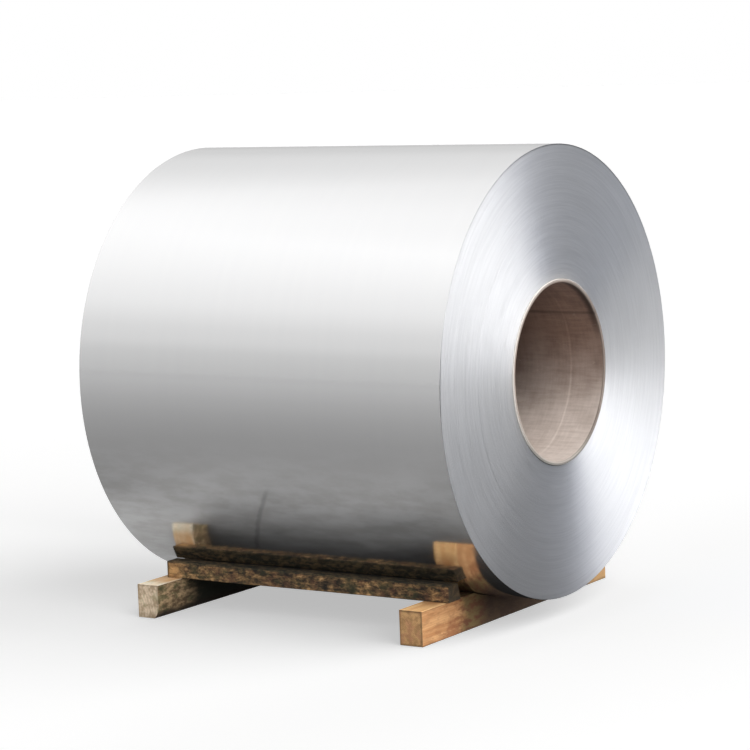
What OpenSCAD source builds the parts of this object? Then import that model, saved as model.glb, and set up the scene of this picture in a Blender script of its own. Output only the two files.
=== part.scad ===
// Coil of nickel alloy strip, wound on a paper core and lying on its side on timber.
// Two bearers cross under it, each with a shallow saddle cut for the coil, and a batten
// laid over the bearers along each side keeps it from rolling.
// X runs along the coil, Y across it and Z up. The origin is on the floor below its middle.

/* [Coil] */
// Outside diameter of the coil
coil_d = 1290; // [1070:1:1550]
// Width of the strip, which is the length of each turn
strip_w = 1219; // [1000:1:1524]
// Thickness of each group of turns that was wound to one line at the coil's ends
group_t = 7; // [5:1:24]
// Furthest that a group of turns is shifted along the coil, either way
stagger = 1.5; // [0.5:0.5:4]

/* [Core] */
// Bore of the paper core
core_bore = 508; // [400:1:620]
// Wall of the paper core
core_wall = 10; // [6:1:20]
// How far the core stands out of the coil at each end
core_out = 4; // [2:0.5:20]
// Bevel on the rims of the bore
bore_bevel = 3; // [0.5:0.5:4]

/* [Bearers] */
// Width of each bearer
bearer_w = 75; // [60:1:90]
// Height of each bearer
bearer_h = 100; // [80:1:130]
// Length of each bearer, across the coil
bearer_len = 1050; // [1000:10:1260]
// Depth of the saddle that the coil lies in
saddle_depth = 37; // [10:1:48]
// From the left end of the strip in to the left bearer's outer face
left_inset = 47; // [0:1:200]
// From the right end of the strip in to the right bearer's outer face
right_inset = 176; // [0:1:200]
// From the coil's middle back to the middle of the left bearer
left_shift = 40; // [0:1:60]
// From the coil's middle back to the middle of the right bearer
right_shift = 29; // [0:1:60]
// Radius of the log that shows along the foot of the left bearer
wane_r = 53; // [50:1:120]
// Height up the foot at which this round edge starts, at the bearer's front end
wane_h = 38; // [20:1:45]
// Angle at which the round edge runs out towards the bearer's back end
wane_taper = 0.8; // [0:0.1:1.2]
// Width of the bevel that eases each sawn edge
ease = 2; // [1:0.5:4]

/* [Battens] */
// Depth of each batten across its top, where it meets the coil
batten_d = 50; // [40:1:70]
// How much deeper it is at its foot, because its inner face slopes in under the coil
batten_slope = 15; // [0:1:30]
// Height of each batten
batten_h = 50; // [40:1:60]
// How far the battens stop short of the left bearer's outer face
batten_short = 26; // [0:1:50]
// How far they run past the right bearer's outer face
batten_past = 12; // [0:1:40]

/* [Hidden] */
$fn = 180;

// Air left where one piece lies against another
seat_gap = 0.3;
// Spare length of a cutter past the piece that it cuts
over = 10;
// Bevel on the outside of the core's ends
rim_bevel = 1;

coil_r = coil_d / 2;
core_r = core_bore / 2 + core_wall;
eye_r = core_r + seat_gap;
core_len = strip_w + 2 * core_out;

// Height of the coil's centre line, with its lowest turn in the saddles
axis_z = bearer_h - saddle_depth + seat_gap + coil_r;

// Groups of turns between the core and the outside, and how thick each comes out
groups = round((coil_r - eye_r) / group_t);
group_step = (coil_r - eye_r) / groups;
// From one group to the next, the wave that sets their shifts turns by this angle
stagger_angle = 105;

// The bearers' outer faces
left_x = -strip_w / 2 + left_inset;
right_x = strip_w / 2 - right_inset;

// A batten's top inner edge, past its bevel, lies against the coil
batten_y = sqrt(pow(coil_r + seat_gap, 2) - pow(axis_z - bearer_h - batten_h, 2)) - ease;
batten_len = right_x + batten_past - left_x - batten_short;

// How far one group of turns is shifted along the coil. The outermost is wound true.
function shift(i) = i == groups - 1 ? 0 : stagger * sin(i * stagger_angle);
function group_r(i) = eye_r + i * group_step;

// Half outline of the wound turns. Every group is as long as the strip is wide, so one that
// stands in at one end of the coil stands out by as much at the other.
module wound_turns() {
    polygon([
        for (i = [0 : groups - 1], r = [group_r(i), group_r(i + 1)])
            [r, strip_w / 2 + shift(i)],
        for (i = [groups - 1 : -1 : 0], r = [group_r(i + 1), group_r(i)])
            [r, -strip_w / 2 + shift(i)]
    ]);
}

// Half outline of the core's wall, with bevelled ends
module core_wall_outline() {
    in_r = core_bore / 2;
    end = core_len / 2;
    polygon([
        [in_r + bore_bevel, end], [core_r - rim_bevel, end], [core_r, end - rim_bevel],
        [core_r, rim_bevel - end], [core_r - rim_bevel, -end], [in_r + bore_bevel, -end],
        [in_r, bore_bevel - end], [in_r, end - bore_bevel]
    ]);
}

// Turns a half outline about the coil's own centre line
module along_coil() {
    translate([0, 0, axis_z])
        rotate([0, 90, 0])
            rotate_extrude() children();
}

// Section of a sawn timber, from its lower left corner, with its long edges eased
module sawn_section(w, h) {
    polygon([
        [ease, 0], [w - ease, 0], [w, ease], [w, h - ease],
        [w - ease, h], [ease, h], [0, h - ease], [0, ease]
    ]);
}

// A timber that runs back across the coil from its front end
module crosswise(w, h, len) {
    translate([0, len, 0])
        rotate([90, 0, 0])
            linear_extrude(height = len) sawn_section(w, h);
}

// A bearer with its left side at x and its middle at mid_y, hollowed for the coil
module bearer(x, mid_y) {
    difference() {
        translate([x, mid_y - bearer_len / 2, 0]) crosswise(bearer_w, bearer_h, bearer_len);
        translate([0, 0, axis_z])
            rotate([0, 90, 0])
                cylinder(r = coil_r + seat_gap, h = 2 * strip_w, center = true);
    }
}

// What the round of the log leaves out of a bearer's foot. The log's own line leans in
// towards the back, so the sawn corner is whole again there.
module wane_cutter() {
    difference() {
        translate([bearer_w - wane_r / 2, -over, -over])
            cube([wane_r / 2 + over, bearer_len + 2 * over, wane_h + over]);
        translate([bearer_w - wane_r, 0, wane_h])
            rotate([wane_taper - 90, 0, 0])
                translate([0, 0, -2 * over])
                    cylinder(r = wane_r, h = bearer_len + 4 * over);
    }
}

// Section of a batten, from the lower edge of its front face, with its long edges eased
module batten_section() {
    foot = batten_d + batten_slope;
    lean = batten_slope / batten_h;
    polygon([
        [ease, 0], [foot - ease, 0], [foot - lean * ease, ease],
        [batten_d + lean * ease, batten_h - ease], [batten_d - ease, batten_h],
        [ease, batten_h], [0, batten_h - ease], [0, ease]
    ]);
}

// A batten on the bearers' tops, along the front of the coil
module batten() {
    translate([left_x + batten_short, -batten_y - batten_d, bearer_h])
        rotate([90, 0, 90])
            linear_extrude(height = batten_len) batten_section();
}

module coil() {
    color([0.78, 0.79, 0.80]) along_coil() wound_turns();
}

module core_tube() {
    color([0.72, 0.63, 0.54]) along_coil() core_wall_outline();
}

module bearer_left() {
    color([0.58, 0.52, 0.42])
        difference() {
            bearer(left_x, left_shift);
            translate([left_x, left_shift - bearer_len / 2, 0]) wane_cutter();
        }
}

module bearer_right() {
    color([0.80, 0.62, 0.42]) bearer(right_x - bearer_w, right_shift);
}

module batten_front() {
    color([0.30, 0.26, 0.19]) batten();
}

module batten_rear() {
    color([0.34, 0.29, 0.21]) mirror([0, 1, 0]) batten();
}

coil();
core_tube();
bearer_left();
bearer_right();
batten_front();
batten_rear();
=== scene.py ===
import math
from types import SimpleNamespace

import bpy
import numpy as np
from mathutils import Color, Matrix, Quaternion, Vector


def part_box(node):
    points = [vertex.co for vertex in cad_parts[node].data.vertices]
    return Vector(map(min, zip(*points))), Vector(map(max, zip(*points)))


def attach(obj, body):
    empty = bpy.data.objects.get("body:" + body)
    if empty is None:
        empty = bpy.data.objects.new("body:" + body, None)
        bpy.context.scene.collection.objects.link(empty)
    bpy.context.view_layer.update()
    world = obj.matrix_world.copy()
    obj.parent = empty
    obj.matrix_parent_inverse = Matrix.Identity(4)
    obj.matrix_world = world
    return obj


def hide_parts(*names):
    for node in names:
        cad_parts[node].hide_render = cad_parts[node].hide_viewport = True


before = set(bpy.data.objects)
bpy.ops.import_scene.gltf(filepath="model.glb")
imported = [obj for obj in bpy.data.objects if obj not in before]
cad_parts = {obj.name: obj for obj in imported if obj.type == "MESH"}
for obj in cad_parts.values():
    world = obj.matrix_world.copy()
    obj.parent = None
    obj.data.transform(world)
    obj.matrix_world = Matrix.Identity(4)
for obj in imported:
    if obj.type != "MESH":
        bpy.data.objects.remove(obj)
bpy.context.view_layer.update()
print("frame loaded")


def rgb(*parts):
    # a screen colour, each part from 0 to 255, as the linear colour that shaders take
    return (*Color([part / 255 for part in parts]).from_srgb_to_scene_linear(), 1.0)


def grey(level):
    return (level, level, level, 1.0)


def operator(operation):
    # two methods, one for wire + value and one for value + wire
    return (lambda self, other: self.graph.sum(operation, self, other),
            lambda self, other: self.graph.sum(operation, other, self))


class Wire:
    # one output of a graph, with the operators that sums of wires use
    def __init__(self, graph, socket):
        self.graph, self.socket = graph, socket

    __add__, __radd__ = operator("ADD")
    __sub__, __rsub__ = operator("SUBTRACT")
    __mul__, __rmul__ = operator("MULTIPLY")
    __truediv__, __rtruediv__ = operator("DIVIDE")
    __pow__, __rpow__ = operator("POWER")

    def __abs__(self):
        return self.graph.sum("ABSOLUTE", self)

    def swing(self, amount):
        # noise from 0 to 1, made to swing about 0 by half the amount either way
        return (self - 0.5) * amount


class Graph:
    # the node tree of a material or of the world
    def __init__(self, owner):
        owner.use_nodes = True
        self.owner, self.tree = owner, owner.node_tree
        self.tree.nodes.clear()

    def add(self, kind, settings=None, inputs=(), out=0):
        # settings come first, then each input by name or number, as a value or as a wire
        node = self.tree.nodes.new(kind)
        for key, value in (settings or {}).items():
            if key == "stops":
                elements = node.color_ramp.elements
                while len(elements) < len(value):
                    elements.new(0.5)
                for element, (position, colour) in zip(elements, value):
                    element.position = position
                    element.color = colour
            else:
                setattr(node, key, value)
        pairs = inputs.items() if isinstance(inputs, dict) else enumerate(inputs)
        for key, value in pairs:
            if isinstance(value, Wire):
                self.tree.links.new(value.socket, node.inputs[key])
            else:
                node.inputs[key].default_value = value
        return Wire(self, node.outputs[out]) if len(node.outputs) else node

    def sum(self, operation, *values):
        return self.add("ShaderNodeMath", {"operation": operation}, values)

    def vectorSum(self, operation, *values, out=0):
        return self.add("ShaderNodeVectorMath", {"operation": operation}, values, out)

    def scaled(self, vector, factor):
        return self.add("ShaderNodeVectorMath", {"operation": "SCALE"}, {0: vector, "Scale": factor})

    def place(self):
        # the point on the piece, in metres
        return self.add("ShaderNodeTexCoord", out="Object")

    def split(self, vector):
        node = self.add("ShaderNodeSeparateXYZ", inputs=[vector]).socket.node
        return [Wire(self, socket) for socket in node.outputs]

    def join(self, x, y, z):
        return self.add("ShaderNodeCombineXYZ", inputs=[x, y, z])

    def noise(self, point, scales, detail=2.0, rough=0.5, twist=0.0, offset=0.0):
        # noise whose lumps have their own scale each way; an offset gives the same scales other lumps
        first, second, third = (part * scale for part, scale in zip(point, scales))
        vector = self.join(first + offset if offset else first, second, third)
        inputs = {"Vector": vector, "Scale": 1.0, "Detail": detail, "Roughness": rough, "Distortion": twist}
        return self.add("ShaderNodeTexNoise", inputs=inputs)

    def step(self, value, low, high, start=0.0, end=1.0):
        # an eased step from start to end, as value goes from low to high
        settings = {"interpolation_type": "SMOOTHSTEP"}
        return self.add("ShaderNodeMapRange", settings, [value, low, high, start, end])

    def mix(self, amount, first, second, blend="MIX"):
        settings = {"data_type": "RGBA", "blend_type": blend}
        return self.add("ShaderNodeMix", settings, {0: amount, 6: first, 7: second}, out=2)

    def between(self, colours, value, low, high):
        # from the first colour to the second, as value goes from low to high
        return self.mix(self.step(value, low, high), *colours)

    def over(self, colour, upper, value, low, high, amount=1.0):
        # lays the upper colour on, from none of it where value is low to amount where it is high
        return self.mix(self.step(value, low, high, 0.0, amount), colour, upper)

    def ramp(self, value, stops):
        return self.add("ShaderNodeValToRGB", {"stops": stops}, [value])

    def bump(self, height, distance, strength):
        inputs = {"Height": height, "Distance": distance, "Strength": strength}
        return self.add("ShaderNodeBump", inputs=inputs)

    def finish(self, **sockets):
        # the shader itself; a word such as baseColor names the socket Base Color
        named = {}
        for word, value in sockets.items():
            spaced = "".join(" " + letter if letter.isupper() else letter for letter in word)
            named[spaced.title()] = value
        shader = self.add("ShaderNodeBsdfPrincipled", inputs=named)
        self.add("ShaderNodeOutputMaterial", inputs={"Surface": shader})
        return self.owner


def newGraph(name):
    return Graph(bpy.data.materials.new(name))


def gridFaces(rows, columns, closedRows=False):
    # quads between neighbouring rows of a grid whose columns close on themselves
    row = np.arange(rows if closedRows else rows - 1)[:, None]
    column = np.arange(columns)[None, :]
    after, beside = (row + 1) % rows * columns, (column + 1) % columns
    row = row * columns
    return np.stack([row + column, row + beside, after + beside, after + column], -1).reshape(-1, 4)


def softNoise(u, v, cells, seed, wrap=False):
    # Heights from -1 to 1: random values on a lattice, eased from each to the next by 3pp - 2ppp. u and v
    # run from 0 to 1, and wrap closes the lattice in v.
    rng = np.random.default_rng(seed)
    lattice = rng.uniform(-1, 1, (cells[0] + 1, cells[1] + 1))
    if wrap:
        lattice[:, -1] = lattice[:, 0]
    a, b = np.broadcast_arrays(u * cells[0], v * cells[1])
    i = np.clip(np.floor(a).astype(int), 0, cells[0] - 1)
    j = np.clip(np.floor(b).astype(int), 0, cells[1] - 1)
    p, q = a - i, b - j
    p, q = p * p * (3 - 2 * p), q * q * (3 - 2 * q)
    near = lattice[i, j] * (1 - q) + lattice[i, j + 1] * q
    far = lattice[i + 1, j] * (1 - q) + lattice[i + 1, j + 1] * q
    return near * (1 - p) + far * p


def signedVolume(points, corners):
    # six times the volume between the faces and the origin: above zero where the faces point outwards
    first = points[corners[:, 0]]
    return sum(np.sum(first * np.cross(points[corners[:, k]], points[corners[:, k + 1]]))
               for k in range(1, corners.shape[1] - 1))


def makePiece(name, shape, materials, node, sharp, faceMaterial=None):
    # a shape is its points, its quads and the triangles that close its ends, turned here to face outwards
    points, quads, fans = shape
    if signedVolume(points, quads) + signedVolume(points, fans) < 0:
        quads, fans = quads[:, ::-1], fans[:, ::-1]
    mesh = bpy.data.meshes.new(name)
    mesh.from_pydata(points.tolist(), [], quads.tolist() + fans.tolist())
    for material in materials:
        mesh.materials.append(material)
    if faceMaterial is not None:
        mesh.polygons.foreach_set("material_index", faceMaterial.astype(np.int32))
    mesh.polygons.foreach_set("use_smooth", np.ones(len(mesh.polygons), bool))
    mesh.set_sharp_from_angle(angle=math.radians(sharp))
    mesh.update()
    piece = bpy.data.objects.new(name, mesh)
    bpy.context.scene.collection.objects.link(piece)
    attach(piece, "root")
    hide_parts(node)
    print("made", name, len(quads) * 2 + len(fans), "triangles")


def outlineRows(x, radius):
    # rows of an outline that is turned: for each row and column, the place along the axis and the radius
    return np.stack(np.broadcast_arrays(x, radius), -1)


def turnedShape(outline, angle):
    # a closed outline turned about the coil's axis: a radius r at an angle lies r cos across and r sin up
    x, radius = outline[..., 0], outline[..., 1]
    points = np.stack([x, radius * np.cos(angle), axisZ + radius * np.sin(angle)], -1)
    return points.reshape(-1, 3), gridFaces(*x.shape, closedRows=True), np.zeros((0, 3), int)


coilLow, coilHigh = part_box("coil")
axisZ = (coilLow[2] + coilHigh[2]) / 2  # height of the coil's axis, which runs along X over the origin

coilLook = {
    "half": coilHigh[0] - 0.0015,  # half the strip's width: the CAD's groups stand out by the rest
    "outer": (coilHigh[2] - coilLow[2]) / 2,
    "eye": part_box("core_tube")[1][2] - axisZ,  # the core's outside, which the turns lie round
    "lapThickness": 0.0012,  # thickness of the strip
    "groups": 89,  # groups of turns that show as steps on the ends
    "groupWeights": (0.45, 1.6),  # the thinnest group and the thickest, against each other
    "groupShift": 0.0004,  # furthest that a group stands in or out
    "shiftShares": (0.22, 0.4, 0.8),  # the shares of it that groups stand in or out by at most,
    "shiftOdds": (0.74, 0.22, 0.04),  # and how many groups have each
    "columns": 246,  # points round the coil
    "sideRows": 13,  # rows of points along its side,
    "sideInset": 0.02,  # which start this far in from each end
    "tailAngle": -48,  # where the strip's outer end lies, from +Y up towards +Z
    "tailSpan": 0.0008,  # the angle over which the coil steps down there, in radians
    "bevel": 0.0003,  # on the edges of the outermost turn,
    "edgeShadeWidth": 0.0005,  # and how far its painted edge shade reaches
    "gapDepth": 0.006,  # how far in the gap below the outermost turn is modelled
    "gapWidth": 0.0004,  # its least width
    "gaps": [(176, 9, 0.0028), (64, 40, 0.0009)],  # where it is wider: angle, spread, width
    "room": 0.0006,  # left for it inside the outermost turn
    "eyeGap": (0.0006, 0.0016, -50),  # round the core: the least, the most, and where the most is
    "fanSlope": 2.179,  # steepest slope on the edge of a turn
    "fanPower": 0.399,  # how much of each edge is flat
    "fanLean": -0.148,  # the slope of its middle, where the slitting left it
    "wander": (0.10, 0.12, 0.06),  # how far the slope varies over wide, middling and narrow groups
    "looseFrom": 0.600,  # the outermost turns, from this radius
    "looseTo": 0.632,  # on to this one, vary more,
    "looseness": 2.6,  # by this factor
    "darkLineLow": 0.22,  # the long dark line, a painted reflection, runs from this height up to the next
    "darkLineHigh": 0.42,
    "darkLineFade": 0.02,
    "darkLineWidth": (0.013, 0.002),  # from its middle out to where it ends, and to where it is full
    "darkLineWay": (0.76, -0.334),  # its place along the coil: a share of its height, plus this
    "reflectionPatches": [  # painted reflection tones: middle, reach each way, how much paler
        ((0.43, -0.535, 0.35), (0.28, 0.075, 0.075), -0.16),
        ((-0.25, -0.45, 0.245), (0.15, 0.05, 0.05), -0.14),
        ((-0.20, -0.575, 0.415), (0.17, 0.045, 0.045), 0.07),
        ((-0.01, -0.568, 0.402), (0.06, 0.04, 0.04), -0.08),
    ],
    "metal": ((0.655, 0.655, 0.66, 1), grey(0.675)),
    "litLowMetal": grey(0.70),
    "smudged": (0.596, 0.589, 0.580, 1),
    # the dark line's colour, a painted reflection
    "scuffed": grey(0.28),
    "burr": grey(0.06),
    "turns": ((0.604, 0.605, 0.611, 1), (0.690, 0.691, 0.697, 1)),
    "rimShadeTone": (0.30, 0.30, 0.31, 1),  # painted shade on the outermost turns' edges, above the middle,
    "rimShadeDepth": (0.007, 0.003),  # from this far inside the outer face to full at the next
    "gapShadeTone": grey(0.05),
    "gapShadeDepth": (0.002, 0.004),  # how far into a gap its painted shade starts, and where it is full
    "sharp": 25,  # an edge is sharp where it turns by more than this, in degrees
    "seed": 11,
}


def coilShape(look):
    # Along the outline the half length is half the strip's width plus each group's shift, and the radius is
    # the group's. The outermost turn's radius falls by one thickness of strip over the turn, so that it
    # steps down where the strip ends.
    rng = np.random.default_rng(look["seed"])
    half, outer, groups = look["half"], look["outer"], look["groups"]
    lap, bevel, depth = look["lapThickness"], look["bevel"], look["gapDepth"]
    least, most, slack = look["eyeGap"]
    tail, span = math.radians(look["tailAngle"]), look["tailSpan"]
    angle = tail + span / 2 + np.linspace(0, 2 * np.pi - span, look["columns"])
    top = outer - lap * (angle - tail) / (2 * np.pi)  # the strip's outer face

    # radii of the groups' edges, thicker and thinner ones in no order
    eye = look["eye"] + least
    weights = rng.uniform(*look["groupWeights"], groups)
    edges = eye + np.r_[0, np.cumsum(weights) / weights.sum()] * (outer - 2 * lap - look["room"] - eye)
    wander = rng.uniform(-1, 1, groups) * rng.choice(look["shiftShares"], groups, p=look["shiftOdds"])

    eyeRadius = eye + (most - least) * np.clip(np.cos(angle - math.radians(slack)), 0, 1)
    gap = look["gapWidth"]
    for place, spread, width in look["gaps"]:
        away = (np.degrees(angle) - place + 180) % 360 - 180
        gap = gap + width * np.exp(-(away / spread) ** 2)
    under = top - lap - gap  # the outside of the turns below the outermost one
    radii = np.repeat(edges, 2)[1:-1, None] * np.ones_like(angle)
    radii[0], radii[-1] = eyeRadius, under
    radii = np.concatenate([radii, [under, top - lap, top - lap, top - bevel]])
    stands = np.repeat(look["groupShift"] * wander, 2)
    right = outlineRows((half + np.r_[stands, -depth, -depth, 0, 0])[:, None], radii)
    left = outlineRows((np.r_[stands, depth, depth, 0, 0] - half)[:, None], radii)[::-1]
    inset = half - look["sideInset"]
    sideX = np.r_[half - bevel, np.linspace(inset, -inset, look["sideRows"]), bevel - half]
    side = outlineRows(sideX[:, None], top)
    bore = outlineRows(np.array([[-half / 2], [0], [half / 2]]), eyeRadius)
    outline = np.concatenate([right, side, left, bore])
    faceRow = np.repeat(np.arange(len(outline)), len(angle))
    leftFrom = len(right) + len(side)
    onEnd = (faceRow < len(right) - 1) | ((faceRow >= leftFrom) & (faceRow < leftFrom + len(left) - 1))
    return turnedShape(outline, angle), onEnd


def stripSide(look):
    # bright rolled strip: an almost even mirror, with fine lines round it, a slight unevenness, faint
    # smudges, paler metal low down as painted light, spots of painted reflection tone, one long dark line
    # low on the coil as a painted reflection, and painted shade along its edges
    g = newGraph("brightStrip")
    spot = g.place()
    x, y, z = here = g.split(spot)
    lines = g.noise(here, (60.0, 2.2, 2.2), 3.0)
    cloud = g.noise(here, (10.0, 24.0, 34.0), 4.0, 0.6)
    lowDown = g.step(z + cloud.swing(0.10), 0.62, 0.38)
    smudge = g.step(cloud, 0.34, 0.68) * lowDown
    colour = g.mix(lines, *look["metal"])
    # paler metal on the coil's lower part: painted light
    colour = g.mix(lowDown, colour, look["litLowMetal"])
    colour = g.mix(smudge, colour, look["smudged"])
    # darker and paler spots low on the coil: painted reflection tones
    for middle, reach, paler in look["reflectionPatches"]:
        away = g.vectorSum("DIVIDE", g.vectorSum("SUBTRACT", spot, middle), reach)
        near = g.step(g.vectorSum("LENGTH", away, out="Value"), 1.0, 0.0)
        colour = g.mix(near, colour, g.scaled(colour, 1 + paler))

    # a long dark line low on the coil: a painted reflection of a dark line mirrored there
    share, plus = look["darkLineWay"]
    low, high, fade = look["darkLineLow"], look["darkLineHigh"], look["darkLineFade"]
    off = x - share * z - plus + cloud.swing(0.014)
    reach = g.step(z, high + fade, high - fade) * g.step(z, low - fade, low + fade) * g.step(y, 0.0, -0.1)
    scuff = g.step(abs(off), *look["darkLineWidth"]) * reach
    colour = g.mix(scuff * 0.42, colour, look["scuffed"])
    half = look["half"]
    # painted edge shade over the outermost turn's bevel
    colour = g.over(colour, look["burr"], abs(x), half - look["edgeShadeWidth"], half - look["bevel"], 0.6)
    wave = g.noise(here, (3.0, 1.6, 1.6), 1.0)
    bump = g.bump(wave * 0.9 + lines * 0.02, 0.002, 0.35)
    rough = 0.09 + 0.05 * smudge + 0.01 * lines
    return g.finish(baseColor=colour, metallic=1.0, roughness=rough, normal=bump)


def stripEnds(look):
    # The turns' edges. Each turn is a fine ridge, so its slope swings in and out along the radius, and the
    # light spreads in a fan across the turns. The number of a turn is its radius over the thickness, plus
    # its angle as a share of a whole turn.
    g = newGraph("stripEdges")
    x, y, z = g.split(g.place())
    up = z - axisZ
    radius = (y * y + up * up) ** 0.5
    across, rise = y / radius, up / radius
    here = radius, across, rise
    turns = radius / look["lapThickness"] + g.sum("ARCTAN2", up, y) / (2 * math.pi)
    swing = g.sum("FRACT", turns) * 2.0 - 1.0
    slope = swing * abs(swing) ** look["fanPower"] * look["fanSlope"]

    # groups of turns differ a little, and fade in and out round the coil
    band = g.noise(here, (230.0, 0.7, 0.7), 2.0, 0.6)
    streak = g.noise(here, (620.0, 3.4, 3.4), 2.0, 0.6)
    thread = g.noise(here, (150.0, 2.2, 2.2), 3.0, 0.7, offset=9.0)
    ripple = g.noise(here, (42.0, 0.5, 0.5), offset=3.0)
    wide, middling, narrow = look["wander"]
    wander = ripple.swing(wide) + thread.swing(middling) + streak.swing(narrow)
    wander = wander * g.step(radius, look["looseFrom"], look["looseTo"], 1.0, look["looseness"])
    slope = slope * (0.98 + 0.04 * band) + wander + look["fanLean"]
    facing = g.add("ShaderNodeNewGeometry", out="Normal")
    endwise = g.split(facing)[0]
    slope = slope * g.step(endwise * endwise, 0.3, 0.9)  # the steps between groups keep their own slope
    outward = g.join(0.0, across, rise)
    normal = g.vectorSum("NORMALIZE", g.vectorSum("ADD", facing, g.scaled(outward, slope)))

    colour = g.between(look["turns"], thread * 0.6 + streak * 0.4, 0.33, 0.67)
    # painted shade on the outermost turns' edges, in the upper half
    rim = g.step(radius, *(look["outer"] - depth for depth in look["rimShadeDepth"])) * g.step(rise, 0.3, 0.8)
    colour = g.mix(rim * 0.45, colour, look["rimShadeTone"])
    # painted shade inside the gap below the outermost turn
    start, full = (look["half"] - depth for depth in look["gapShadeDepth"])
    colour = g.over(colour, look["gapShadeTone"], abs(x), start, full, 0.85)
    return g.finish(baseColor=colour, metallic=1.0, roughness=0.268 + 0.03 * streak, normal=normal)


shape, onEnd = coilShape(coilLook)
materials = [stripSide(coilLook), stripEnds(coilLook)]
makePiece("strip_coil", shape, materials, "coil", coilLook["sharp"], onEnd)


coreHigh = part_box("core_tube")[1]
coreLook = {
    "half": coreHigh[0],
    "outer": coreHigh[1],
    "wall": 0.010,
    "boreBevel": 0.003,  # rounding of the bore's rim
    "rimBevel": 0.001,  # and of the outside
    "columns": 240,
    "rings": 110,  # rows of points along the inside
    "plies": 7,  # plies that show on each cut end,
    "plyRows": 4,  # with this many rows of points to each
    "plyRidge": 0.00025,  # how far each ply's middle lies behind its edges
    "fray": 0.00025,  # how uneven the cut is, either way
    "seamAngle": 35,  # where a ply's edge runs along the inside, from +Y up towards +Z
    "seamSpan": 0.008,  # the angle over which it steps, in radians
    "ringAt": 0.110,  # how deep inside each end a ply's edge runs round
    "ringSpan": 0.0024,  # the length over which it steps
    "seamStep": 0.00042,
    "dents": 0.0004,  # how uneven the inside is, either way
    "rimShadowDepth": (0.032, 0.012),  # how far inside an end the painted shadow in its rim starts, and where it is full
    "lipDepth": (0.006, 0.003),  # and the same for its rounded lip
    "skinDepth": (0.0009, 0.0003),  # and for the core's pale outer skin
    "sharp": 30,
    "board": (rgb(144, 117, 102), rgb(112, 88, 76)),
    "dustAndLight": (rgb(216, 203, 194), rgb(184, 170, 160)),
    "deep": rgb(46, 34, 29),
    "rimShadow": rgb(34, 24, 20),
    "lip": (rgb(140, 134, 126), rgb(112, 101, 93)),
    "scuffed": rgb(206, 188, 174),
    "seamTone": rgb(52, 38, 32),
    "ringHighlight": rgb(226, 212, 200),
    "cut": (rgb(160, 152, 146), rgb(132, 122, 115)),
    "glueLine": rgb(140, 120, 100),
    "skin": rgb(232, 226, 218),
    "rightShade": rgb(104, 93, 86),
    "lowShade": rgb(108, 106, 101),
}


def coreShape(look):
    # The inside is cut back by two eased steps, one along the bore and one round it, where the innermost
    # ply's edges lie, and the ends are ridged from ply to ply.
    half, outer, plies = look["half"], look["outer"], look["plies"]
    bevel, rim, ringAt = look["boreBevel"], look["rimBevel"], half - look["ringAt"]
    inner, reach = outer - look["wall"], half - bevel
    seam, span = math.radians(look["seamAngle"]), look["seamSpan"] / 2
    angle = np.linspace(0, 2 * np.pi, look["columns"], endpoint=False)
    angle = np.sort(np.r_[angle, seam - span, seam + span])
    turn = angle / (2 * np.pi)

    sweep = np.radians([18, 36, 54, 72])
    rows = plies * look["plyRows"] + 1
    radius = np.r_[inner + bevel * (1 - np.cos(sweep)), np.linspace(inner + bevel, outer - rim, rows)]
    sunk = np.r_[bevel * (1 - np.sin(sweep)), np.zeros(rows)]
    ridge = look["plyRidge"] * (0.5 - 0.5 * np.cos(2 * np.pi * plies * (radius - inner) / (outer - inner)))
    fray = look["fray"] * (1 + softNoise(turn, np.linspace(0, 1, len(radius))[:, None], (90, 9), 5))
    endX = half - (sunk + ridge)[:, None] - fray
    right = outlineRows(endX, radius[:, None])
    left = outlineRows(-endX, radius[:, None])[::-1]
    outside = outlineRows(np.array([[half - rim], [0], [rim - half]]), np.full(len(angle), outer))

    span = look["ringSpan"] / 2
    steps = [side * (ringAt + d) for side in (-1, 1) for d in (-span, 0, span)]
    x = np.sort(np.r_[np.linspace(-reach, reach, look["rings"]), steps])[:, None]
    ends = np.clip((np.abs(x) - ringAt + span) / (2 * span), 0, 1)
    lie = look["seamStep"] * (ends + 1 - (angle - seam) / (2 * np.pi) % 1)
    dent = look["dents"] * (1 + softNoise((x + reach) / (2 * reach), turn, (9, 11), 8, True))
    inside = inner + np.clip(lie + dent, 0, bevel)
    inside[[0, -1]] = inner
    outline = np.concatenate([outlineRows(x, inside), right, outside, left])
    faceRow = np.repeat(np.arange(len(outline)), len(angle))
    soiled = len(sweep) + 2 * look["plyRows"]  # the inner plies' edges are as brown as the inside
    onCut = (faceRow >= len(x) + soiled) & (faceRow < len(outline) - soiled - 1)
    return turnedShape(outline, angle), onCut


def corePaper(name, rough):
    # wound board: blotches, long fibres round and along it, and small scuffs
    g = newGraph(name)
    x, y, z = g.split(g.place())
    up = z - axisZ
    here = x, y, up
    blotch = g.noise(here, (7.0, 6.0, 6.0), 4.0, 0.6)
    grain = g.noise(here, (150.0, 420.0, 420.0), 3.0, 0.6)
    cross = g.noise(here, (620.0, 60.0, 60.0), 2.0, 0.6)
    scuff = g.noise(here, (16.0, 34.0, 34.0), 5.0, 0.75)
    lengthwise = g.noise(here, (13.0, 105.0, 105.0), 2.0, 0.6)
    around = g.noise(here, (120.0, 12.0, 12.0), 2.0, 0.6)
    amount = blotch * 0.45 + lengthwise * 0.25 + around * 0.15 + grain * 0.1 + cross * 0.05
    bump = g.bump(grain * 0.5 + cross * 0.3 + blotch * 0.8, 0.0006, 0.5)
    return g, SimpleNamespace(
        x=x, y=y, up=up, blotch=blotch, scuff=scuff,
        amount=g.step(amount, 0.36, 0.66),
        surface={"roughness": rough + 0.1 * grain, "normal": bump})


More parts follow.
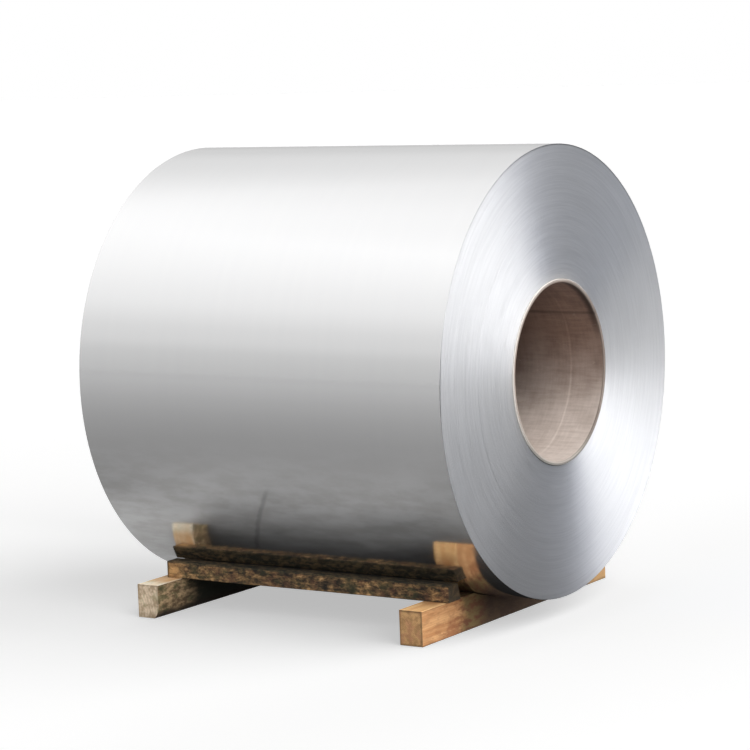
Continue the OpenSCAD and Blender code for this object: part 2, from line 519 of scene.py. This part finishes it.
def boardInside(look):
    # brown board, paler along its bottom with dust and painted light, and the lines where the innermost
    # ply's edges lie: a dark seam along, and a painted highlight round
    g, p = corePaper("woundBoard", 0.84)
    half, fromMiddle = look["half"], abs(p.x)
    brown, dustAndLight = g.mix(p.amount, *look["board"]), g.mix(p.amount, *look["dustAndLight"])
    colour = g.mix(g.step(p.up + p.blotch.swing(0.12), 0.10, -0.20), brown, dustAndLight)
    # painted shade: darker farther inside the tube, away from its bottom
    deep = g.step(fromMiddle, 0.55, 0.32) * g.step(p.up, -0.25, -0.04)
    colour = g.mix(deep * 0.56, colour, look["deep"])

    # painted shadow inside the rim's upper half, and the rounded lip's own colour with painted shade
    # towards the bottom and the right
    rim = g.step(fromMiddle + p.scuff.swing(0.02), *(half - depth for depth in look["rimShadowDepth"]))
    shade = 0.4 + 0.4 * g.step(p.y, -0.02, 0.12)
    colour = g.mix(rim * g.step(p.up, 0.04, 0.16) * shade, colour, look["rimShadow"])
    # the lip's own colour, with painted shade towards the bottom and the right
    lip = g.step(fromMiddle, *(half - depth for depth in look["lipDepth"]))
    aside = g.step(p.y, 0.06, 0.20)
    shadier = g.step(p.up, -0.10, -0.22) + aside
    colour = g.mix(lip * (0.35 + 0.5 * shadier), colour, g.mix(aside, *look["lip"]))
    colour = g.over(colour, look["scuffed"], p.scuff, 0.60, 0.74, 0.25)

    offSeam = g.sum("ARCTAN2", p.up, p.y) - math.radians(look["seamAngle"]) + p.scuff.swing(0.01)
    colour = g.over(colour, look["seamTone"], abs(offSeam), 0.034, 0.002, 0.42)
    # a painted highlight along the ply's edge that runs round inside, faded above and at the very bottom
    offRing = fromMiddle - (half - look["ringAt"]) + p.blotch.swing(0.006)
    ring = g.step(abs(offRing), 0.0048, 0.001) * g.step(p.up, 0.0, -0.09) * g.step(p.up, -0.235, -0.19)
    colour = g.mix(ring * 0.15, colour, look["ringHighlight"])
    return g.finish(baseColor=colour, **p.surface)


def boardCut(look):
    # the paler cut end, with a dark line between one ply and the next, and painted shade towards its right
    # and its bottom
    g, p = corePaper("cutBoard", 0.9)
    radius = (p.y * p.y + p.up * p.up) ** 0.5
    layer = g.sum("FRACT", radius * (look["plies"] / look["wall"]))
    colour = g.mix(p.amount, *look["cut"])
    colour = g.over(colour, look["glueLine"], layer, 0.8, 0.95, 0.35)
    skin = g.step(radius, *(look["outer"] - depth for depth in look["skinDepth"]))
    colour = g.mix(skin, colour, look["skin"])
    # painted shade towards the right and the bottom
    colour = g.over(colour, look["rightShade"], p.y, 0.06, 0.22, 0.8)
    colour = g.over(colour, look["lowShade"], p.up, -0.12, -0.24, 0.85)
    return g.finish(baseColor=colour, **p.surface)


shape, onCut = coreShape(coreLook)
materials = [boardInside(coreLook), boardCut(coreLook)]
makePiece("paper_core", shape, materials, "core_tube", coreLook["sharp"], onCut)


timberWear = {  # what the saw and wear took off every timber
    "edgeWander": ((0.55, 0.07, 0), (0.3, 0.013, 9)),  # how its edges' rounding varies: share, length, draw
    "edgeLeast": 0.0006,
    "edgeMost": 0.0045,
    "sawPitch": 0.011,
    "sawShare": 0.10,  # this and the next three are shares of the timber's own roughness
    "hollowShare": 0.5,
    "fibreShare": 0.22,
    "chipShare": 1.6,
    "chipRarity": 0.55,
    "endInset": 0.0010,  # rounding of the ends: the first row of points,
    "nextInset": 0.0002,  # and the next
    "endBite": 0.0005,  # how rough the sawn ends are
    "crowd": 0.007,  # points lie closer together than this from an edge,
    "endRows": (0, 0.0012, 0.003, 0.006),  # and at these places from an end,
    "rowsFrom": 0.009,  # with evenly spaced rows from here
    "rowsTo": 0.008,  # to this far from the other end
    "shared": 0.004,  # as near as this to an edge, both its sides are pressed in
    "sawnFace": (0.0022, 0.0012),  # from an end in: where the sawn face's colours start, and are full
    "border": (0.009, 0.001),  # from a sawn face's edges in: the same for their dirt
    "arris": (0.0045, 0.003, 0.0008, 0.0015),  # from the top down: painted edge shade starts, is full, ends, is full
    "sharp": 50,
}


def sectionPoints(corners, spacing, crowd):
    # Points round a section, packed closer near its corners. Each keeps the way along its side to the
    # nearer corner, its side's inward normal, the other side's, and half the angle that the corner turns.
    forward = np.roll(corners, -1, 0) - corners
    lengths = np.linalg.norm(forward, axis=1)
    forward = forward / lengths[:, None]
    inward = np.stack([-forward[:, 1], forward[:, 0]], 1)
    halfTurn = np.arccos(np.sum(np.roll(forward, 1, 0) * forward, 1)) / 2
    close = crowd * np.array([0, 0.12, 0.27, 0.45, 0.7, 1.0])
    places = []
    for length in lengths:
        inner = np.arange(crowd + spacing, length - crowd - spacing / 2, spacing)
        places.append(np.r_[close, inner, length - close[:0:-1]])
    side = np.repeat(np.arange(4), [len(along) for along in places])
    along = np.concatenate(places)
    nearStart = along < lengths[side] / 2
    corner = np.where(nearStart, side, (side + 1) % 4)
    beside = np.where(nearStart, side - 1, side + 1) % 4
    return SimpleNamespace(
        base=corners[side] + forward[side] * along[:, None],
        toCorner=np.where(nearStart[:, None], -forward[side], forward[side]),
        inward=inward[side], other=inward[beside],
        away=np.where(nearStart, along, lengths[side] - along),
        corner=corner, halfTurn=halfTurn[corner])


def timberSides(look, corners, start, length, shaped, extra):
    # A section carried along a line. At each place along it every corner is an arc whose radius wanders,
    # and the faces are pressed in by what the saw and wear took off.
    spacing, wear = look["spacing"], timberWear
    ring = sectionPoints(np.array(corners, float), spacing, wear["crowd"])
    ends = np.array(wear["endRows"])
    inner = np.arange(wear["rowsFrom"], length - wear["rowsTo"], spacing)
    t = np.unique(np.round(np.r_[ends, inner, length - ends, extra], 5))[:, None]
    v = np.arange(len(ring.away)) / len(ring.away)

    def lumps(size, around, draw, across=v, wrap=True):
        # noise over the sides, its lumps about a size long and so many round the section
        cells = max(2, int(length / size)), around
        return softNoise(t / length, across, cells, look["seed"] + draw, wrap)

    edges = [1 + sum(share * lumps(size, 1, draw + corner, 0.5, False)
                     for share, size, draw in wear["edgeWander"])
             for corner in range(4)]
    radius = np.clip(look["edge"] * np.hstack(edges), wear["edgeLeast"], wear["edgeMost"])[:, ring.corner]
    reach = radius * np.tan(ring.halfTurn)
    inside = ring.away < reach
    sweep = ring.halfTurn * (1 - np.where(inside, ring.away / reach, 1))
    slide = np.where(inside, radius * np.sin(sweep) - reach + ring.away, 0)[..., None] * ring.toCorner
    lift = np.where(inside, radius * (1 - np.cos(sweep)), 0)[..., None] * ring.inward
    saw = 0.5 + 0.5 * np.sin(2 * np.pi * t / wear["sawPitch"] + 3 * lumps(0.09, 7, 20))
    press = wear["sawShare"] * saw + wear["hollowShare"] * (1 + lumps(0.12, 5, 21))
    press += wear["fibreShare"] * (1 + lumps(0.05, 46, 22))
    press += wear["chipShare"] * np.clip(lumps(0.016, 22, 23) - wear["chipRarity"], 0, 1)
    press *= look["rough"]
    press[[0, -1]] += wear["endInset"]
    press[[1, -2]] += wear["nextInset"]
    blend = np.clip(1 - ring.away / wear["shared"], 0, 1)[:, None]
    way = ring.inward + blend * ring.other
    way /= np.linalg.norm(way, axis=1, keepdims=True)
    section = shaped(ring.base + slide + lift + press[..., None] * way, t + start)
    return section, np.broadcast_to(t + start, section.shape[:2])


def sawnTimber(look, corners, start, length, shaped=lambda section, t: section, extra=()):
    # The sides, and two ends on which each ring of points shrinks towards the middle, roughened where the
    # saw crossed the grain. The ends close on their middle points.
    section, line = timberSides(look, corners, start, length, shaped, extra)
    count = section.shape[1]
    shrink = np.array([0.985, 0.95, 0.89, 0.8, 0.7, 0.6, 0.5, 0.4, 0.3, 0.2, 0.1])
    rings, lines, middles = [], [], []
    for row, side in ((0, 1), (-1, -1)):
        middle = section[row].mean(0)
        rough = softNoise(shrink[:, None], np.arange(count) / count, (6, 30), look["seed"] + 30 + row, True)
        rings.append(middle + (section[row] - middle) * shrink[:, None, None])
        lines.append(line[row] + timberWear["endBite"] * (1 + rough) * side)
        middles.append(middle)
    cross = np.concatenate([rings[0][::-1], section, rings[1]])
    rows = len(cross)
    flat = np.concatenate([cross.reshape(-1, 2), middles])
    line = np.concatenate([lines[0][::-1], line, lines[1]])
    line = np.r_[line.ravel(), line[0].mean(), line[-1].mean()]
    spot, beside = np.arange(count), (np.arange(count) + 1) % count
    last, middle = (rows - 1) * count, np.full(count, rows * count)  # the last row's first point, a middle
    fans = np.concatenate([np.stack([middle, beside, spot], 1),
                           np.stack([middle + 1, last + spot, last + beside], 1)])
    x, y = (line, flat[:, 0]) if look["along"] == "x" else (flat[:, 0], line)
    return np.stack([x, y, flat[:, 1]], 1), gridFaces(rows, count), fans


def timberParts(look, name):
    # What every timber shares: growth rings about a pith line that wanders, fibres, pores and saw marks.
    # The number of a ring is the distance from the pith over the ring's width.
    g = newGraph(name)
    x, y, z = g.split(g.place())
    along, across = (x, y) if look["along"] == "x" else (y, x)
    across, up = across - look["pith"][0], z - look["pith"][1]
    drift = g.noise((across, along, up), (9.0, 1.3, 9.0))
    sway = g.noise((across, along, up), (8.0, 1.1, 8.0), offset=5.0)
    across = across + drift.swing(look["wander"])
    up = up + sway.swing(look["wander"])
    uneven = g.noise((along, drift, 0.0), (0.7, 3.0, 1.0))
    ring = g.sum("FRACT", (across * across + up * up) ** 0.5 / look["ringWidth"] + 0.8 * uneven)

    def marks(wide, long, detail, rough=0.6, twist=0.0, offset=0.0):
        return g.noise((across, along, up), (wide, long, wide), detail, rough, twist, offset)

    return g, SimpleNamespace(
        x=x, y=y, z=z, along=along,
        late=g.step(ring, 0.35, 0.9) * g.step(ring, 1.0, 0.93),  # the dark wood of each ring
        fibre=marks(620.0, 16.0, 3.0, 0.65),
        streak=marks(150.0, 4.5, 3.0),
        cloud=marks(16.0, 7.0, 4.0),
        mottle=marks(62.0, 24.0, 4.0, 0.62, offset=3.0),
        grain=marks(48.0, 2.6, 4.0, 0.62, 0.6, -4.0),
        green=marks(40.0, 22.0, 3.0, offset=-7.0),
        speck=marks(260.0, 120.0, 3.0, 0.7),
        saw=marks(12.0, 420.0, 2.0, 0.5))


def endMask(g, look, p):
    # 1 on the sawn ends
    middle, reach = (look["from"] + look["to"]) / 2, (look["to"] - look["from"]) / 2
    return g.step(abs(p.along - middle), *(reach - depth for depth in timberWear["sawnFace"]))


def endBorder(g, look, p):
    # 1 along the edges of the sawn ends, where dirt has settled
    masks = []
    for place, low, high in ((p.x, look["left"], look["right"]), (p.z, 0.0, look["high"])):
        off = abs(place - (low + high) / 2) + p.mottle.swing(0.004)
        masks.append(g.step(off, *((high - low) / 2 - width for width in timberWear["border"])))
    return g.sum("MAXIMUM", *masks)


def arrises(g, look, p):
    # 1 along the top edges, which are darkened as painted shade
    starts, full, ends, fullAgain = (look["high"] - depth for depth in timberWear["arris"])
    return g.step(p.z, starts, full) * g.step(p.z, ends, fullAgain)


def timberFinish(g, look, p, colour, rough):
    height = p.fibre * 0.5 + p.late * 0.3 + p.saw * 0.25 + p.speck * 0.25
    bump = g.bump(height, look["relief"], 1.0)
    return g.finish(baseColor=colour, roughness=rough + 0.12 * p.fibre, normal=bump)


rightLook = {
    "along": "y", "spacing": 0.0042, "edge": 0.0012, "rough": 0.00035, "seed": 41, "relief": 0.0007,
    "pith": (0.25, -0.16),  # the heart of the log, across and up
    "ringWidth": 0.0046, "wander": 0.010,
    "stainFrom": -0.275, "stainTo": 0.46,  # the part under the coil that is painted dark as shade
    "sides": (rgb(214, 163, 112), rgb(184, 128, 80)),
    "lateWood": rgb(142, 96, 56),
    "sideBlotch": rgb(150, 104, 64),
    # a paler top: the wood's own tan, raised as painted light where the coil shades it
    "top": (rgb(255, 208, 146), rgb(236, 176, 114)),
    "farEnd": rgb(168, 146, 100),
    "red": rgb(140, 82, 50),
    "stainStart": (rgb(108, 92, 56), rgb(98, 60, 38)),
    "stain": rgb(40, 31, 23),
    "soil": rgb(96, 72, 48),
    "grime": rgb(64, 54, 38),
    "sawn": (rgb(206, 163, 110), rgb(170, 130, 87)),
    "sawnBlotch": rgb(186, 130, 98),
    "sawnBorder": rgb(86, 72, 44),
    "sawnRing": rgb(132, 100, 66),
}


def rightTimber(look):
    # fresh sawn softwood, orange tan, with painted shade where the coil lies over it
    g, p = timberParts(look, "freshTimber")
    grained = g.step(p.grain + p.streak.swing(0.25), 0.36, 0.66)
    side = g.mix(grained, *look["sides"])
    side = g.mix(p.late * 0.14, side, look["lateWood"])
    side = g.over(side, look["sideBlotch"], p.mottle, 0.48, 0.62, 0.35)
    # the paler top, partly painted light
    top = g.step(p.z, look["high"] - 0.0016, look["high"] - 0.0006)
    colour = g.mix(top, side, g.mix(grained, *look["top"]))

    red = g.step(p.cloud * 0.6 + p.mottle * 0.4, 0.40, 0.58) * g.step(p.along, -0.46, -0.34)
    red = red * g.step(p.along, 0.46, 0.36)
    colour = g.over(colour, look["farEnd"], p.along, 0.40, 0.46, 0.45)
    colour = g.mix(red * 0.7, colour, look["red"])
    # painted shade under the coil, darkest beyond its start
    place = p.along + p.cloud.swing(0.10) + p.mottle.swing(0.05)
    start, end = look["stainFrom"], look["stainTo"]
    stain = g.step(place, start - 0.05, start + 0.02) * g.step(place, end + 0.03, end - 0.05)
    weak = g.between(look["stainStart"], p.mottle, 0.42, 0.60)
    colour = g.mix(stain * 0.92, colour, g.over(weak, look["stain"], p.along, start + 0.04, start + 0.15))
    # painted shade along the top edges
    colour = g.mix(arrises(g, look, p) * 0.28, colour, look["soil"])
    # painted shade along the foot
    colour = g.over(colour, look["grime"], p.z + p.cloud.swing(0.02), 0.008, 0.001, 0.5)

    sawn = g.between(look["sawn"], p.mottle, 0.38, 0.62)
    sawn = g.over(sawn, look["sawnBlotch"], p.green, 0.48, 0.60, 0.5)
    sawn = g.mix(endBorder(g, look, p) * 0.72, sawn, look["sawnBorder"])
    sawn = g.mix(p.late * 0.25, sawn, look["sawnRing"])
    colour = g.mix(endMask(g, look, p) * 0.9, colour, sawn)
    colour = g.over(colour, look["soil"], p.speck, 0.58, 0.70, 0.35)
    return timberFinish(g, look, p, colour, 0.78)


leftLook = {
    "along": "y", "spacing": 0.0042, "edge": 0.0015, "rough": 0.0005, "seed": 61, "relief": 0.0010,
    "pith": (-0.598, 0.030), "ringWidth": 0.0095, "wander": 0.018,
    "dampFrom": -0.39, "dampTo": -0.27,  # it turns dark between these, with dampness and painted shade, and stays dark
    "waneRadius": 0.053, "waneHeight": 0.038, "waneTaper": 0.8,  # the log's own round edge, as in the CAD
    "sides": (rgb(196, 166, 126), rgb(104, 84, 60)),
    "mould": rgb(84, 90, 56),
    "pores": rgb(66, 50, 38),
    # a pale top: weathered wood, raised as painted light where the coil shades it
    "top": (rgb(255, 246, 224), rgb(255, 230, 196)),
    "topMould": rgb(170, 170, 116),
    "topFront": rgb(226, 178, 124),
    "soil": rgb(104, 88, 64),
    "damp": (rgb(42, 43, 31), rgb(22, 22, 16)),
    "foot": rgb(46, 37, 28),
    "sawn": (rgb(226, 205, 178), rgb(172, 150, 122)),
    "sawnRing": rgb(146, 124, 98),
    "sawnBorder": rgb(110, 96, 76),
    "sawnMould": rgb(150, 150, 110),
    "sawnFoot": rgb(84, 74, 60),
}


def leftTimber(look):
    # weathered grey brown softwood, black farther back with dampness and painted shade, and painted shade
    # along its foot
    g, p = timberParts(look, "weatheredTimber")
    side = g.between(look["sides"], p.mottle, 0.36, 0.64)
    side = g.over(side, look["mould"], p.green, 0.50, 0.60, 0.6)
    side = g.over(side, look["pores"], p.speck, 0.55, 0.66, 0.6)
    # the pale top, partly painted light
    face = g.between(look["top"], p.grain, 0.36, 0.64)
    face = g.over(face, look["topMould"], p.green, 0.54, 0.64, 0.35)
    front = g.step(p.along, -0.46, -0.41) * g.step(p.grain, 0.30, 0.60, 0.45, 0.9)
    face = g.mix(front, face, look["topFront"])
    top = g.step(p.z, look["high"] - 0.0020, look["high"] - 0.0008)
    colour = g.mix(top, side, face)
    # painted shade along the top edges
    colour = g.mix(arrises(g, look, p) * 0.35, colour, look["soil"])

    # dark farther back: dampness, and painted shade under the batten and the coil
    place = p.along + p.cloud.swing(0.10) + p.mottle.swing(0.05)
    damp = g.step(place, look["dampFrom"], look["dampTo"]) * (1 - 0.15 * top)
    colour = g.mix(damp, colour, g.mix(p.cloud, *look["damp"]))
    # painted shade along the foot, on its sides and its sawn ends
    foot = g.step(p.z + p.cloud.swing(0.035), 0.030, 0.006)
    colour = g.mix(foot * 0.9, colour, look["foot"])

    sawn = g.between(look["sawn"], p.mottle, 0.36, 0.64)
    sawn = g.mix(p.late * 0.3, sawn, look["sawnRing"])
    sawn = g.mix(endBorder(g, look, p) * 0.35, sawn, look["sawnBorder"])
    sawn = g.over(sawn, look["sawnMould"], p.green, 0.54, 0.64, 0.3)
    colour = g.mix(endMask(g, look, p), colour, g.mix(foot * 0.2, sawn, look["sawnFoot"]))
    return timberFinish(g, look, p, colour, 0.82)


battenLook = {
    "along": "x", "spacing": 0.0036, "edge": 0.0022, "rough": 0.0006, "seed": 81, "relief": 0.0011,
    "pith": (-0.40, 0.02), "ringWidth": 0.0045, "wander": 0.03,
    "slope": 0.0144,  # how much deeper the foot is than the top
    "bareTo": -0.49,  # the left end is bare as far as this
    # how pale it is at each place along it
    "wear": [(-0.44, 1.3), (-0.36, 1.15), (-0.25, 0.8), (-0.05, 1.1), (0.16, 1.3), (0.23, 1.1),
             (0.32, 0.68), (0.38, 0.8), (0.43, 1.4)],
    # from its black skin to bare wood
    "worn": [(0.40, rgb(26, 22, 15)), (0.46, rgb(62, 49, 33)), (0.51, rgb(102, 80, 54)),
             (0.56, rgb(150, 117, 77)), (0.62, rgb(196, 156, 108))],
    "lateWood": rgb(48, 37, 25),
    "mould": rgb(58, 62, 38),
    "redBrown": rgb(112, 74, 54),
    "bare": (rgb(212, 166, 110), rgb(138, 104, 64)),
    "corner": rgb(40, 31, 20),
    "pores": rgb(26, 21, 15),
    "damp": (rgb(38, 39, 28), rgb(84, 73, 52)),
    "sawn": (rgb(50, 44, 34), rgb(84, 70, 50)),
}


def battenTimber(look, name):
    # old dark timber: black and green, with dampness and painted shade on top, with browner bare wood
    # showing on its faces
    g, p = timberParts(look, name)
    chips = g.noise((p.x, p.y, p.z), (44.0, 78.0, 84.0), 4.0, 0.68, 0.3)
    worn = chips * 0.45 + p.mottle * 0.35 + p.cloud * 0.2 + p.streak.swing(0.15)
    stops = [(0.5 + place, grey(pale / 2)) for place, pale in look["wear"]]
    pale = g.ramp(p.along * look["side"] + 0.5, stops)
    colour = g.mix(1.0, g.ramp(worn, look["worn"]), g.scaled(pale, 2.0), "MULTIPLY")
    colour = g.mix(p.late * 0.25, colour, look["lateWood"])
    colour = g.over(colour, look["mould"], p.green, 0.52, 0.62, 0.5)
    colour = g.over(colour, look["redBrown"], p.green, 0.46, 0.38, 0.35)

    bare = g.step(p.along + p.mottle.swing(0.06), look["bareTo"] + 0.02, look["bareTo"] - 0.02)
    bareWood = g.between(look["bare"], p.grain, 0.36, 0.64)
    colour = g.mix(bare * g.step(chips, 0.34, 0.52, 0.3, 0.85), colour, bareWood)
    colour = g.over(colour, look["corner"], p.along, look["from"] + 0.010, look["from"] + 0.003, 0.7)
    colour = g.over(colour, look["pores"], p.speck, 0.56, 0.68, 0.6)
    # a dark top: dampness, and painted shade under the coil
    top = g.step(p.z + p.cloud.swing(0.006), look["high"] - 0.007, look["high"] - 0.0025)
    colour = g.mix(top * 0.8, colour, g.between(look["damp"], chips, 0.44, 0.60))
    colour = g.mix(endMask(g, look, p) * 0.85, colour, g.mix(p.mottle, *look["sawn"]))
    return timberFinish(g, look, p, colour, 0.8)


seatGap = 0.0003  # air between the coil and its saddles, as in the CAD


def bearer(name, node, look, makeMaterial):
    low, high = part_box(node)
    width, height = high[0] - low[0], high[2]
    look.update({"from": low[1], "to": high[1], "left": low[0], "right": high[0], "high": height})
    lying = coilLook["outer"] + seatGap
    foot = math.sqrt(lying ** 2 - (axisZ - height) ** 2)  # where the saddle meets the top

    def shaped(section, y):
        # The saddle lowers the top to the coil's round, and the wane narrows the foot to the log's round.
        # What lies below the base keeps its height.
        across, up = section[..., 0], section[..., 1]
        dip = np.where(np.abs(y) < foot, axisZ - np.sqrt(np.maximum(lying ** 2 - y ** 2, 0)), height)
        base = 0.035
        up = np.where(up > base, base + (up - base) * (dip - base) / (height - base), up)
        if "waneRadius" in look:
            log = look["waneRadius"]
            level = look["waneHeight"] - (y - low[1]) * math.tan(math.radians(look["waneTaper"]))
            drop = np.clip(level - up, 0, log)
            edge = width - log + np.sqrt(log ** 2 - drop ** 2)
            across = low[0] + (across - low[0]) * np.minimum(1, edge / width)
        return np.stack([across, up], -1)

    corners = [(low[0], 0), (high[0], 0), (high[0], height), (low[0], height)]
    shape = sawnTimber(look, corners, low[1], high[1] - low[1], shaped, (foot - low[1], -foot - low[1]))
    makePiece(name, shape, [makeMaterial(look)], node, timberWear["sharp"])


def batten(name, node, look, side):
    # side is -1 before the coil and 1 behind it, where the section and the wear are turned about
    low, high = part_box(node)
    look.update({"from": low[0], "to": high[0], "side": -side, "high": high[2]})
    front, back = max(abs(low[1]), abs(high[1])), min(abs(low[1]), abs(high[1]))
    corners = [(-front, low[2]), (-back, low[2]), (-back - look["slope"], high[2]), (-front, high[2])]
    if side > 0:
        corners = [(-y, z) for y, z in corners[::-1]]
    shape = sawnTimber(look, corners, low[0], high[0] - low[0])
    material = battenTimber(look, name + "Timber")
    makePiece(name, shape, [material], node, timberWear["sharp"])


bearer("left_bearer", "bearer_left", leftLook, leftTimber)
bearer("right_bearer", "bearer_right", rightLook, rightTimber)
batten("front_batten", "batten_front", dict(battenLook), -1)
batten("rear_batten", "batten_rear", dict(battenLook, seed=97, pith=(0.40, 0.02)), 1)


studio = {
    "floorSize": 60.0,
    "floorZ": -0.0004,
    "floorTone": 0.72,
    "floorGlow": 0.47,  # light of its own, so that the floor's shadows stay pale
    "backTone": 1.0,  # what the camera sees behind the floor
    "groundZ": -0.0002,
    "groundReach": 10.0,
    "groundTones": [  # brightness by the distance from the coil, as a share of that reach
        (0, 0.040), (0.030, 0.055), (0.036, 0.082), (0.042, 0.125), (0.050, 0.205), (0.058, 0.275),
        (0.066, 0.325), (0.074, 0.338), (0.09, 0.312), (0.10, 0.29), (0.12, 0.262), (0.15, 0.256),
        (0.2, 0.28), (0.29, 0.322), (0.45, 0.362), (0.7, 0.392), (1, 0.41),
    ],
    "litTone": 0.53,  # where light comes in under the coil's left end:
    "litX": (-0.55, -0.68),  # it starts and is full at these places along the coil,
    "litLean": (0.44, 0.56, 0.10),  # which shift by the last between the first two across it,
    "litY": (0.78, 0.40),  # and at these across it
    "nearSide": (0.0, 0.60, 1.0, 0.55),  # the ground has painted shade by the right end: from, to, and two shades
    "farSide": (0.60, 1.6, 0.0, 0.87),  # what is added to that farther out
    "tint": (0.94, 1.02, 1.20, 1),  # and bluer, behind its right end
    "skyTones": [  # brightness by height above the horizon, in degrees
        (-90, 0.35), (-40, 0.41), (-30, 0.435), (-19, 0.54), (-9, 0.66), (2, 0.76), (9, 0.85), (13, 0.966),
        (19, 1.026), (28, 1.218), (35, 1.30), (44, 1.414), (51, 1.486), (60, 1.38), (90, 1.35),
    ],
    "brightest": 1.5,  # above all of them
    "farTone": 0.80,  # the sky's brightness behind the coil, against that before it
    "rightTone": 0.38,  # and to its right, against its left
    "boxWay": (0.99, 0.034, 0.473),  # towards the soft box at the coil's right
    "boxReach": 46.6,  # half the angle that it fills
    "boxEdge": 9.8,
    "boxPower": 3.03,
    "fringe": (0.90, 0.95, 1.12, 1),  # the tint of the sky round the box's edge,
    "fringeReach": (0.30, 0.05),  # and how far it goes out and in, as a difference of cosines
}


def plane(name, z, material):
    size = studio["floorSize"]
    corners = [(-size, -size, z), (size, -size, z), (size, size, z), (-size, size, z)]
    mesh = bpy.data.meshes.new(name)
    mesh.from_pydata(corners, [], [(0, 1, 2, 3)])
    mesh.materials.append(material)
    flat = bpy.data.objects.new(name, mesh)
    bpy.context.scene.collection.objects.link(flat)
    return flat


def makeFloor():
    # the pale floor that the camera sees
    g = newGraph("paleFloor")
    fleck = g.noise(g.split(g.place()), (4.0, 4.0, 4.0), 3.0)
    tone = studio["floorTone"]
    colour = g.mix(fleck, grey(tone), (tone * 0.99, tone * 0.99, tone * 0.985, 1))
    glow = studio["floorGlow"]
    paint = g.finish(baseColor=colour, roughness=0.9, emissionColor=grey(1), emissionStrength=glow)
    floor = plane("floor", studio["floorZ"], paint)
    floor.visible_glossy = False
    floor.visible_diffuse = False


def makeGround():
    # The grey ground that the coil mirrors, with painted shade: dark under the coil, between the bearers,
    # and paler with the distance from there, which is the fourth root of the sum of both sides' fourth
    # powers.
    g = newGraph("greyGround")
    x, y, z = g.split(g.place())
    aside, away = abs(x), abs(y)
    aside = aside * g.step(aside, 0.42, 0.85)
    patchy = g.noise((x, y, 0.0), (5.0, 9.0, 1.0), 3.0, 0.6)
    distance = ((aside * aside) ** 2.0 + (away * away) ** 2.0) ** 0.25 + patchy.swing(0.16)
    stops = [(place, grey(tone)) for place, tone in studio["groundTones"]]
    shade = g.ramp(distance / studio["groundReach"], stops)
    start, end, lean = studio["litLean"]
    lit = g.step(x - lean * g.step(away, start, end), *studio["litX"]) * g.step(away, *studio["litY"])
    shade = g.mix(lit, shade, grey(studio["litTone"]))
    side = g.step(x, *studio["nearSide"]) + g.step(x, *studio["farSide"])
    shade = g.mix(1.0, shade, g.join(side, side, side), "MULTIPLY")
    tinted = g.mix(1.0, shade, studio["tint"], "MULTIPLY")
    behind = g.step(x, 0.5, 0.8) * g.step(y, 0.0, 0.3) * g.step(y, 4.0, 2.0)
    shade = g.mix(behind, shade, tinted)
    ground = plane("ground", studio["groundZ"], g.finish(baseColor=shade, roughness=1.0))
    ground.visible_camera = False
    ground.visible_shadow = False
    ground.visible_transmission = False


def makeSky():
    world = bpy.data.worlds.new("studio")
    bpy.context.scene.world = world
    g = Graph(world)
    way = g.add("ShaderNodeTexCoord", out="Generated")
    x, y, z = g.split(way)
    stops = [(0.5 + 0.5 * math.sin(math.radians(up)), grey(tone / studio["brightest"]))
             for up, tone in studio["skyTones"]]
    sky = g.add("ShaderNodeRGBToBW", inputs=[g.ramp(z * 0.5 + 0.5, stops)]) * studio["brightest"]
    behind = g.step(y, -0.05, 0.55, 1.0, studio["farTone"])
    sky = sky * behind * g.step(x, -0.25, 0.1, 1.0, studio["rightTone"])
    towards = g.vectorSum("DOT_PRODUCT", way, tuple(Vector(studio["boxWay"]).normalized()), out="Value")
    reach, edge = math.radians(studio["boxReach"]), math.radians(studio["boxEdge"])
    outside, inside = math.cos(reach + edge), math.cos(reach - edge)
    sky = sky + g.step(towards, outside, inside) * studio["boxPower"]
    seen = g.add("ShaderNodeLightPath", out="Is Camera Ray")
    mirrored = g.add("ShaderNodeLightPath", out="Is Glossy Ray")
    strength = sky + seen * (studio["backTone"] - sky)
    out, back = studio["fringeReach"]
    fringe = g.step(towards, outside - out, outside) * g.step(towards, inside + back, outside) * mirrored
    colour = g.mix(fringe, grey(1), studio["fringe"])
    background = g.add("ShaderNodeBackground", inputs={"Color": colour, "Strength": strength})
    g.add("ShaderNodeOutputWorld", inputs={"Surface": background})


view = {"spot": (4.504, -6.8463, 1.6838), "yaw": -0.5836, "pitch": -0.122, "roll": -0.0386, "lens": 134.43}


def makeCamera():
    # yaw turns from +Y, and a pitch above zero looks up
    camera = bpy.data.objects.new("camera", bpy.data.cameras.new("camera"))
    bpy.context.scene.collection.objects.link(camera)
    camera.data.lens = view["lens"]
    camera.data.sensor_width = 36
    camera.data.clip_end = 500
    camera.location = view["spot"]
    yaw, pitch = view["yaw"], view["pitch"]
    level = math.cos(pitch)
    forward = Vector((math.sin(yaw) * level, math.cos(yaw) * level, math.sin(pitch)))
    camera.rotation_mode = "QUATERNION"
    camera.rotation_quaternion = forward.to_track_quat("-Z", "Y") @ Quaternion((0, 0, 1), view["roll"])
    bpy.context.scene.camera = camera


makeFloor()
makeGround()
makeSky()
makeCamera()
bpy.context.scene.view_settings.view_transform = "Standard"
print("stage, light and camera set")
